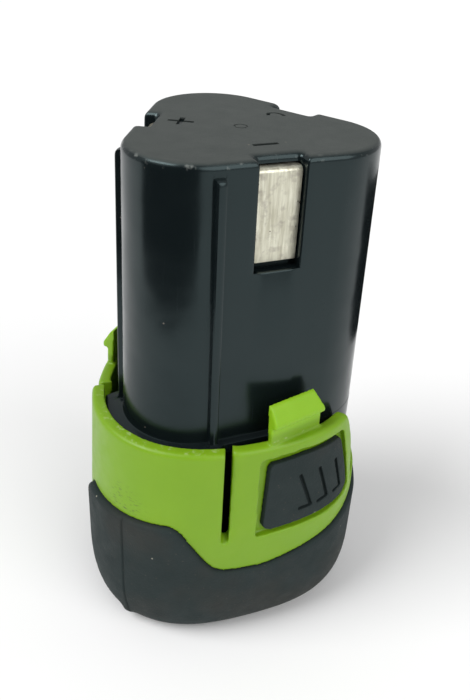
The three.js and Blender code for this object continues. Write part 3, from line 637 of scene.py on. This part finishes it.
def is_arm(point, sign):
    """True for a point, in metres, on the latch on that side of the mirror plane."""
    x, y, z = point.x * sign / MM, point.y / MM, point.z / MM
    off = math.degrees(math.atan2(y, x)) - LATCH
    return x > 5 and abs(off) < SLOT_MIDDLE and z > LATCH_CUT_Z - 0.01


def split(obj, unwanted):
    """Cuts obj at the height where the latches start to bend, drops the unwanted faces and closes the cut."""
    work = bmesh.new()
    work.from_mesh(obj.data)
    near = [f for f in work.faces if any(is_arm(v.co, s) for v in f.verts for s in (-1, 1))]
    parts = {*near, *[e for f in near for e in f.edges], *[v for f in near for v in f.verts]}
    bmesh.ops.bisect_plane(work, geom=list(parts), plane_co=(0, 0, LATCH_CUT_Z * MM), plane_no=(0, 0, 1))
    bmesh.ops.delete(work, geom=[f for f in work.faces if unwanted(f.calc_center_median())], context="FACES")
    open_edges = [e for e in work.edges if e.is_boundary]
    bmesh.ops.holes_fill(work, edges=open_edges, sides=0)
    bmesh.ops.recalc_face_normals(work, faces=work.faces)
    result = bpy.data.meshes.new(obj.name)
    work.to_mesh(result)
    work.free()
    return result


def keep_arm(ring, sign):
    data = split(ring, lambda centre: not is_arm(centre, sign))
    arm = bpy.data.objects.new(f"latch_{'right' if sign > 0 else 'left'}", data)
    bpy.context.scene.collection.objects.link(arm)
    return arm


def drop_arms(ring):
    ring.data = split(ring, lambda centre: is_arm(centre, 1) or is_arm(centre, -1))


def bend_with_latch(obj, side):
    """Bakes the piece's placement into its mesh and does not bend it; the real moulding bends between the
    collar and the latch, at its living hinge.
    """
    x, y = along(LATCH, LATCH_OUT) * MM
    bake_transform(obj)


# Three hooked strokes pressed into each pad, as (side, z) centre lines.
STROKES = (((-1.2, 33.4), (1.0, 26.8), (-1.05, 26.7)), ((2.7, 33.5), (4.6, 27.1), (2.7, 26.8)),
           ((6.6, 33.3), (8.2, 27.2), (6.6, 27.0)))
STROKE_HALF_W = 0.34


def stroke_cutters():
    cutters = []
    for stroke in STROKES:
        for (s0, z0), (s1, z1) in zip(stroke, stroke[1:]):
            run = np.array([s1 - s0, z1 - z0])
            run = run / np.hypot(*run) * STROKE_HALF_W
            nip = np.array([-run[1], run[0]])
            a, b = np.array([s0, z0]) - run, np.array([s1, z1]) + run
            outline = [tuple(a - nip), tuple(b - nip), tuple(b + nip), tuple(a + nip)]
            cutters.append(latch_prism("stroke", outline, 20, 36))
    return cutters


def build_pads(look):
    edge = latch_prism("edge", PAD_OUTLINE, *THROUGH_LATCH)
    pad = intersect(face_slab("pad_right", 0.25, 1.15, crown=0.3), edge)
    floor = face_slab("stroke_floor", -3.0, 0.75)
    for cutter in stroke_cutters():
        cut(pad, intersect(cutter, copied(floor)))
    bpy.data.objects.remove(floor)
    melt(pad, PAD_VOXEL, 2)
    pad.name = "pad_right"
    twin = mirror(pad)
    twin.name = "pad_left"
    for obj, side in ((pad, "right"), (twin, "left")):
        dress(shade(obj), look, [f"grip_pad_{side}"], body=None)
        bend_with_latch(obj, side)


# ---- base cup ---------------------------------------------------------------------------------

BASE_ANGLES = np.unique(np.concatenate([np.arange(-180, 180, 0.75), PARTING + np.arange(-3, 3, 0.12)]))


def base_face(z):
    """Outer face of the base at one height or at a height per angle, with its parting line and foot nub."""
    z = np.broadcast_to(np.asarray(z, float), BASE_ANGLES.shape)
    share = 1 + (BASE_FOOT_REAR - 1) * smooth(right_angle(BASE_ANGLES) / 70)
    inset = BASE_FOOT_INSET * share * (1 - np.sqrt(np.clip(z / BASE_FLARE_Z, 0, 1))) ** 2
    off = wrap(BASE_ANGLES - PARTING)
    groove = 0.22 * np.exp(-((off / 0.35) ** 2)) * smooth((z - 1.5) / 2)
    step = 0.1 * smooth(off / 0.8 + 0.5)
    nub = 0.55 * np.exp(-((off + 1.5) / 2.6) ** 2 - ((z - 2.6) / 1.5) ** 2)
    return base_radius(BASE_ANGLES) - inset - groove - step + nub


def build_base(look):
    rim = seam_height(BASE_ANGLES) - SEAM_GAP
    wall = np.maximum(base_radius(BASE_ANGLES) - BASE_WALL, trefoil(BASE_ANGLES, LOBE_R) + CLEARANCE)
    loops = []
    for z in (0, 0.03, 0.1, 0.22, 0.4, 0.65, 1.0, 1.5, 2.1, 2.8, 3.6, 4.6, 6, 8, 10, BASE_FLARE_Z):
        loops.append(polar(base_face(z), z, BASE_ANGLES))
    for share in (0.25, 0.5, 0.75):
        z = BASE_FLARE_Z + (rim - BASE_EDGE - BASE_FLARE_Z) * share
        loops.append(polar(base_face(z), z, BASE_ANGLES))
    for turn in np.radians(np.linspace(0, 90, 6)):
        z = rim - BASE_EDGE * (1 - math.sin(turn))
        loops.append(polar(base_face(z) - BASE_EDGE * (1 - math.cos(turn)), z, BASE_ANGLES))
    loops.append(polar(wall, rim, BASE_ANGLES))
    for inset, rise in ((0, 3.0), (0.75, 0.75), (2.25, 0)):
        loops.append(polar(wall - inset, BASE_FLOOR + rise, BASE_ANGLES))
    base = outward(skin("base_shell", loops))
    post = ((POST_FOOT_R, BASE_FLOOR - 0.5), (POST_FOOT_R, POST_FOOT_TOP), (POST_TOP_R, POST_FOOT_TOP),
            (POST_TOP_R, POST_TOP))
    bore = ((SCREW_BORE_R, -1), (SCREW_BORE_R, SCREW_BORE_TOP), (BOSS_HOLE_R, SCREW_BORE_TOP),
            (BOSS_HOLE_R, POST_TOP + 1.3))
    posts = [turned("post", post, along(flat, POST_R)) for flat in FLATS]
    bores = [turned("bore", bore, along(flat, POST_R)) for flat in FLATS]
    join(base, *posts)
    cut(base, *bores)
    return dress(shade(base, 35), look, ["base_cup"])


# ---- terminals --------------------------------------------------------------------------------

def build_contact(flat, look):
    """Folded blade: a front face, a round fold at its top and a tail behind."""
    node = SLOT_SIDES[flat]
    front, thick, tail = CONTACT_HIGH[1], 0.5, CONTACT_LOW[1]
    low, high = CONTACT_LOW[2], CONTACT_HIGH[2]
    tail_low, half_w, fold, under_fold = 80.4, 3.35, 0.8, 0.3
    outer = [(front, low), (front, high - 1.0)]
    for turn in np.radians(range(15, 91, 15)):
        outer.append((front - fold * (1 - math.cos(turn)), high - fold * (1 - math.sin(turn))))
    outer += [(tail + 0.5, high), (tail + 0.15, high - 0.15), (tail, high - 0.5), (tail, tail_low)]
    inner = [(tail + thick, tail_low), (tail + thick, high - thick), (front - fold, high - thick)]
    for turn in np.radians((60, 30)):
        inner.append((front - fold + under_fold * math.cos(turn), high - fold + under_fold * math.sin(turn)))
    inner += [(front - thick, high - 1.0), (front - thick, low)]

    def place(out, z, end):
        return (*along(flat, out, (-half_w, half_w)[end]), z)

    blade = outward(prism(node + "_blade", outer + inner, place))
    bevel = blade.modifiers.new("Bevel", "BEVEL")
    bevel.width = 0.09 * MM
    bevel.segments = 2
    bevel.limit_method = "ANGLE"
    bevel.angle_limit = math.radians(50)
    apply_modifiers(blade)
    return dress(shade(blade, 30), look, [node])


# ---- materials --------------------------------------------------------------------------------

class Look:
    """A procedural Principled material, fed by object coordinates in metres."""

    def __init__(self, name, roughness=0.5, metallic=0.0, specular=0.5, tint=(1, 1, 1)):
        self.material = bpy.data.materials.new(name)
        self.material.use_nodes = True
        self.tree = self.material.node_tree
        self.shader = self.tree.nodes["Principled BSDF"]
        self.shader.inputs["Roughness"].default_value = roughness
        self.shader.inputs["Metallic"].default_value = metallic
        self.shader.inputs["Specular IOR Level"].default_value = specular
        self.shader.inputs["Specular Tint"].default_value = (*tint, 1)
        self.place = self.new("ShaderNodeTexCoord").outputs["Object"]

    def new(self, kind, **settings):
        node = self.tree.nodes.new(kind)
        for key, value in settings.items():
            setattr(node, key, value)
        return node

    def feed(self, socket, value):
        if isinstance(value, bpy.types.NodeSocket):
            self.tree.links.new(value, socket)
        else:
            socket.default_value = value

    def stretched(self, stretch):
        node = self.new("ShaderNodeMapping")
        self.feed(node.inputs["Vector"], self.place)
        node.inputs["Scale"].default_value = stretch
        return node.outputs["Vector"]

    def noise(self, size_mm, detail=3.0, stretch=None, rough=0.55):
        node = self.new("ShaderNodeTexNoise")
        self.feed(node.inputs["Vector"], self.stretched(stretch) if stretch else self.place)
        node.inputs["Scale"].default_value = 1 / (size_mm * MM)
        node.inputs["Detail"].default_value = detail
        node.inputs["Roughness"].default_value = rough
        return node.outputs["Fac"]

    def dots(self, spacing_mm, size, share):
        """1 on small round specks. size is their radius over the spacing, share how many there are."""
        node = self.new("ShaderNodeTexVoronoi")
        self.feed(node.inputs["Vector"], self.place)
        node.inputs["Scale"].default_value = 1 / (spacing_mm * MM)
        split_colour = self.new("ShaderNodeSeparateColor")
        self.feed(split_colour.inputs["Color"], node.outputs["Color"])
        near = self.span(node.outputs["Distance"], size, size * 0.6)
        chosen = self.math("LESS_THAN", split_colour.outputs["Red"], share)
        return self.math("MULTIPLY", near, chosen)

    def span(self, value, start, end, low=0.0, high=1.0):
        node = self.new("ShaderNodeMapRange")
        self.feed(node.inputs["Value"], value)
        for key, number in (("From Min", start), ("From Max", end), ("To Min", low), ("To Max", high)):
            node.inputs[key].default_value = number
        return node.outputs["Result"]

    def math(self, operation, a, b=0.0):
        node = self.new("ShaderNodeMath", operation=operation)
        self.feed(node.inputs[0], a)
        self.feed(node.inputs[1], b)
        return node.outputs["Value"]

    def height(self):
        node = self.new("ShaderNodeSeparateXYZ")
        self.feed(node.inputs["Vector"], self.place)
        return node.outputs["Z"]

    def near(self, point_mm, radius_mm):
        """1 at a point and 0 beyond a radius."""
        node = self.new("ShaderNodeVectorMath", operation="DISTANCE")
        self.feed(node.inputs[0], self.place)
        node.inputs[1].default_value = tuple(np.array(point_mm) * MM)
        return self.span(node.outputs["Value"], radius_mm * MM, 0.0)

    def mix(self, share, a, b):
        node = self.new("ShaderNodeMix", data_type="RGBA")
        self.feed(node.inputs["Factor"], share)
        self.feed(node.inputs["A"], a if isinstance(a, bpy.types.NodeSocket) else (*a, 1))
        self.feed(node.inputs["B"], b if isinstance(b, bpy.types.NodeSocket) else (*b, 1))
        return node.outputs["Result"]

    def colour(self, value):
        self.feed(self.shader.inputs["Base Color"], value)

    def roughness(self, value):
        self.feed(self.shader.inputs["Roughness"], value)

    def bump(self, *layers):
        """layers are (height socket, depth in millimetres)."""
        normal = None
        for value, depth_mm in layers:
            node = self.new("ShaderNodeBump")
            self.feed(node.inputs["Height"], value)
            node.inputs["Distance"].default_value = depth_mm * MM
            if normal:
                self.feed(node.inputs["Normal"], normal)
            normal = node.outputs["Normal"]
        self.feed(self.shader.inputs["Normal"], normal)


def housing_look():
    look = Look("housing_black", specular=0.43, tint=(0.74, 0.98, 1.0))
    top = look.span(look.height(), (TOWER_TOP - 0.35) * MM, (TOWER_TOP - 0.02) * MM)
    tone = look.mix(look.noise(9, 4), (0.0034, 0.0057, 0.0065), (0.0062, 0.0096, 0.0106))
    top_tone = look.mix(look.noise(3, 5), (0.040, 0.043, 0.040), (0.062, 0.066, 0.061))
    tone = look.mix(top, tone, top_tone)
    edge = look.math("MULTIPLY", look.span(look.height(), (TOWER_TOP - 1.0) * MM, (TOWER_TOP - 0.5) * MM),
                     look.math("SUBTRACT", 1.0, top))
    wear = look.math("MULTIPLY", edge, look.span(look.noise(1.3, 6), 0.58, 0.72))
    tone = look.mix(wear, tone, (0.16, 0.17, 0.16))
    tone = look.mix(look.dots(3.0, 0.05, 0.16), tone, (0.28, 0.24, 0.2))
    look.colour(tone)
    gloss = look.span(look.noise(7, 5), 0.3, 0.7, 0.17, 0.25)
    scuffs = look.math("MULTIPLY", look.span(look.noise(0.5, 4, (1, 1, 0.06)), 0.6, 0.8), 0.1)
    scuffed = look.math("ADD", gloss, scuffs)
    look.roughness(look.math("ADD", scuffed, look.math("MULTIPLY", top, 0.42)))
    grain = look.math("MULTIPLY", look.noise(0.28, 4), top)
    look.bump((look.noise(14, 2), 0.35), (grain, 0.07))
    return look.material


def collar_look():
    look = Look("collar_green", specular=0.4)
    tone = look.mix(look.noise(8, 4), (0.158, 0.318, 0.0045), (0.196, 0.364, 0.0075))
    scuff_place = (*along(PARTING - 1, 27.6), 28.5)
    scuff = look.math("MULTIPLY", look.near(scuff_place, 5.0),
                      look.span(look.noise(0.9, 5, (1, 1, 3)), 0.56, 0.66))
    tone = look.mix(scuff, tone, (0.05, 0.07, 0.02))
    tone = look.mix(look.dots(2.6, 0.06, 0.12), tone, (0.12, 0.2, 0.02))
    # Painted highlight: light green flecks along the collar's top edge.
    rim = look.math("MULTIPLY", look.span(look.height(), (COLLAR_TOP - 0.12) * MM, (COLLAR_TOP - 0.03) * MM),
                    look.span(look.height(), (COLLAR_TOP + 0.4) * MM, (COLLAR_TOP + 0.2) * MM))
    painted_rim_highlight = look.math("MULTIPLY", rim, look.span(look.noise(0.9, 6), 0.56, 0.66))
    tone = look.mix(look.math("MULTIPLY", painted_rim_highlight, 0.28), tone, (0.55, 0.66, 0.36))
    # Painted light: the hooks above the collar's top get a lighter green, a lit copy of the collar's colour.
    hooks = look.span(look.height(), (COLLAR_TOP + 1.0) * MM, (COLLAR_TOP + 2.0) * MM)
    tone = look.mix(hooks, tone, look.mix(look.noise(5, 4), (0.215, 0.430, 0.006), (0.250, 0.480, 0.010)))
    look.colour(tone)
    look.roughness(look.span(look.noise(2.2, 5), 0.3, 0.7, 0.34, 0.47))
    look.shader.inputs["Subsurface Weight"].default_value = 0.12
    look.shader.inputs["Subsurface Radius"].default_value = (0.3, 1.0, 0.1)
    look.shader.inputs["Subsurface Scale"].default_value = 0.6 * MM
    look.bump((look.noise(6, 3), 0.12), (look.noise(0.35, 3), 0.012))
    return look.material


def soft_look():
    look = Look("soft_black", specular=0.22, tint=(0.8, 1.0, 1.0))
    tone = look.mix(look.noise(6, 6), (0.014, 0.020, 0.020), (0.024, 0.032, 0.032))
    tone = look.mix(look.span(look.noise(15, 3), 0.5, 0.75), tone, (0.030, 0.030, 0.027))
    tone = look.mix(look.dots(0.9, 0.16, 0.3), tone, (0.048, 0.045, 0.038))
    tone = look.mix(look.dots(2.1, 0.09, 0.2), tone, (0.26, 0.25, 0.21))
    look.colour(tone)
    look.roughness(look.span(look.noise(3, 5), 0.3, 0.7, 0.62, 0.82))
    look.bump((look.noise(0.42, 4), 0.09), (look.noise(0.16, 2), 0.03))
    return look.material


def contact_look():
    look = Look("contact_metal", metallic=0.85)
    streak = look.noise(0.5, 5, (1, 1, 0.09))
    tone = look.mix(look.span(streak, 0.35, 0.65), (0.51, 0.49, 0.38), (0.77, 0.76, 0.63))
    smudge = look.math("MULTIPLY", look.span(look.noise(1.6, 6), 0.52, 0.68), 0.75)
    tone = look.mix(smudge, tone, (0.36, 0.33, 0.28))
    tone = look.mix(look.dots(1.1, 0.13, 0.3), tone, (0.16, 0.14, 0.11))
    look.colour(tone)
    look.roughness(look.span(look.noise(1.1, 5), 0.3, 0.7, 0.26, 0.5))
    look.bump((look.noise(3.0, 3), 0.05), (streak, 0.02), (look.noise(0.3, 3), 0.01))
    return look.material


def plain_look(name, dark, light, roughness, grain_mm, depth_mm, metallic=0.0, stretch=None):
    """Hidden pieces: two tones over a grain, with a matching bump."""
    look = Look(name, metallic=metallic)
    grain = look.noise(grain_mm, 4, stretch)
    look.colour(look.mix(grain, dark, light))
    look.roughness(look.span(look.noise(grain_mm * 3, 3), 0.3, 0.7, roughness - 0.06, roughness + 0.08))
    look.bump((grain, depth_mm))
    return look.material


def board_look():
    look = Look("board_green")
    tone = look.mix(look.noise(1.2, 3), (0.008, 0.075, 0.026), (0.014, 0.11, 0.040))
    tracks = look.span(look.noise(2.2, 1, (1, 0.15, 1)), 0.49, 0.5)
    tone = look.mix(tracks, tone, (0.018, 0.14, 0.055))
    tone = look.mix(look.dots(2.6, 0.16, 0.4), tone, (0.72, 0.66, 0.5))
    look.colour(tone)
    look.roughness(look.span(look.noise(2, 3), 0.3, 0.7, 0.35, 0.5))
    look.bump((tracks, 0.02), (look.noise(0.4, 3), 0.01))
    return look.material


def looks():
    made = {"housing_black": housing_look(), "collar_green": collar_look(), "soft_black": soft_look(),
            "contact_metal": contact_look(), "board_green": board_look()}
    plain = {
        "cell_wrap": ((0.03, 0.11, 0.26), (0.04, 0.14, 0.32), 0.36, 1.5, 0.02, 0.1, None),
        "nickel": ((0.55, 0.55, 0.54), (0.75, 0.74, 0.72), 0.34, 0.5, 0.015, 0.95, (1, 0.1, 1)),
        "screw_steel": ((0.28, 0.28, 0.27), (0.45, 0.45, 0.44), 0.38, 0.4, 0.02, 0.95, None),
        "paper": ((0.70, 0.67, 0.58), (0.82, 0.80, 0.72), 0.88, 0.3, 0.05, 0.0, None),
        "carrier_grey": ((0.055, 0.058, 0.06), (0.075, 0.078, 0.08), 0.62, 0.6, 0.03, 0.0, None),
        "chip_black": ((0.006, 0.006, 0.007), (0.014, 0.014, 0.015), 0.5, 0.25, 0.02, 0.0, None),
        "foam_black": ((0.008, 0.008, 0.009), (0.03, 0.03, 0.032), 0.95, 0.5, 0.25, 0.0, None),
        "wire_black": ((0.006, 0.006, 0.007), (0.012, 0.012, 0.013), 0.45, 0.8, 0.02, 0.0, (1, 1, 0.2)),
        "wire_red": ((0.38, 0.02, 0.015), (0.46, 0.03, 0.02), 0.45, 0.8, 0.02, 0.0, (1, 1, 0.2)),
        "wire_yellow": ((0.62, 0.40, 0.02), (0.72, 0.48, 0.03), 0.45, 0.8, 0.02, 0.0, (1, 1, 0.2)),
        "wire_white": ((0.68, 0.68, 0.65), (0.78, 0.78, 0.76), 0.45, 0.8, 0.02, 0.0, (1, 1, 0.2)),
    }
    for name, (dark, light, roughness, grain, depth, metallic, stretch) in plain.items():
        made[name] = plain_look(name, dark, light, roughness, grain, depth, metallic, stretch)
    return made


def carry_over(made, rebuilt):
    """Gives every CAD node that is shown as packed the material of its record slot."""
    for row in frame["record"]["subparts"]:
        if row["node"] not in rebuilt:
            node = frame["nodes"][row["node"]]
            node.data.materials.clear()
            node.data.materials.append(made[row["material_slot"]])


# ---- floor, light and camera ------------------------------------------------------------------

CAMERA_AZIMUTH, CAMERA_ELEVATION, CAMERA_ROLL = 36.065, 31.515, 3.25
CAMERA_DISTANCE, CAMERA_LENS = 139.095, 40.43
CAMERA_SIDE, CAMERA_TARGET_Z = 1.041, 45.437


def camera_axes(azimuth, elevation):
    a, e = math.radians(azimuth), math.radians(elevation)
    back = Vector((math.sin(a) * math.cos(e), -math.cos(a) * math.cos(e), math.sin(e)))
    right = Vector((math.cos(a), math.sin(a), 0))
    return right, back.cross(right), back


def add_camera():
    right, up, back = camera_axes(CAMERA_AZIMUTH, CAMERA_ELEVATION)
    target = (right * CAMERA_SIDE + Vector((0, 0, CAMERA_TARGET_Z))) * MM
    roll = math.radians(CAMERA_ROLL)
    turned_right = right * math.cos(roll) + up * math.sin(roll)
    turned_up = up * math.cos(roll) - right * math.sin(roll)
    camera = bpy.data.objects.new("camera", bpy.data.cameras.new("camera"))
    camera.matrix_world = matrix_of(turned_right, turned_up, back, target + back * CAMERA_DISTANCE * MM)
    camera.data.lens = CAMERA_LENS
    camera.data.clip_start = 0.01
    bpy.context.scene.collection.objects.link(camera)
    bpy.context.scene.camera = camera


def matrix_of(x, y, z, place):
    """Matrix of an object with these axes at this place."""
    return Matrix(((*x, 0), (*y, 0), (*z, 0), (*place, 1))).transposed()


def add_sun(name, azimuth, elevation, strength, spread):
    """A far, wide soft box, so that the floor is lit evenly. spread is its width in degrees."""
    right, up, back = camera_axes(azimuth, elevation)
    data = bpy.data.lights.new(name, "SUN")
    data.energy = strength
    data.angle = math.radians(spread)
    lamp = bpy.data.objects.new(name, data)
    lamp.matrix_world = matrix_of(right, up, back, back)
    bpy.context.scene.collection.objects.link(lamp)


def add_flag(name, azimuth, out, half_w, low, high):
    """A black card beside the pack that shows only in its reflections."""
    turn = azimuth - 90
    flag = mesh(name, [(*along(turn, out, side), z) for side, z in
                       ((-half_w, low), (half_w, low), (half_w, high), (-half_w, high))], [(0, 1, 2, 3)])
    look = Look(name, roughness=0.9, specular=0.1)
    look.colour(look.mix(look.noise(20, 2), (0.002, 0.002, 0.002), (0.005, 0.005, 0.005)))
    flag.data.materials.append(look.material)
    flag.visible_camera = False
    flag.visible_shadow = False
    flag.visible_diffuse = False


def add_floor():
    reach = 2000
    floor = mesh("floor", [(-reach, -reach, 0), (reach, -reach, 0), (reach, reach, 0), (-reach, reach, 0)],
                 [(0, 1, 2, 3)])
    look = Look("floor", roughness=0.9)
    look.colour(look.mix(look.noise(60, 3), (0.86, 0.86, 0.86), (0.89, 0.89, 0.89)))
    floor.data.materials.append(look.material)


def add_world():
    """Even white surroundings, full white where the camera sees past the floor."""
    world = bpy.data.worlds.new("studio")
    world.use_nodes = True
    tree = world.node_tree
    sky = tree.nodes["Background"]
    sky.inputs["Color"].default_value = (1, 1, 1, 1)
    rays = tree.nodes.new("ShaderNodeLightPath")
    strength = tree.nodes.new("ShaderNodeMapRange")
    tree.links.new(rays.outputs["Is Camera Ray"], strength.inputs["Value"])
    strength.inputs["To Min"].default_value = 0.5
    strength.inputs["To Max"].default_value = 1.0
    tree.links.new(strength.outputs["Result"], sky.inputs["Strength"])
    bpy.context.scene.world = world


# ---- assembly ---------------------------------------------------------------------------------

made = looks()
build_tower(made["housing_black"])
build_collar(made["collar_green"])
build_pads(made["soft_black"])
build_base(made["soft_black"])
for flat in FLATS:
    build_contact(flat, made["contact_metal"])
rebuilt = {"tower_housing", "collar_ring", "latch_arm_right", "latch_arm_left",
           "grip_pad_right", "grip_pad_left", "base_cup", *SLOT_SIDES.values()}
carry_over(made, rebuilt)

add_floor()
add_world()
add_sun("key", -30, 50, 2.0, 35)
add_sun("fill", 80, 35, 1.2, 50)
add_flag("flag_front", 4, 75, 66, 33, 160)
add_flag("flag_rear", 170, 75, 46, 15, 60)
add_camera()
bpy.context.scene.view_settings.view_transform = "Standard"
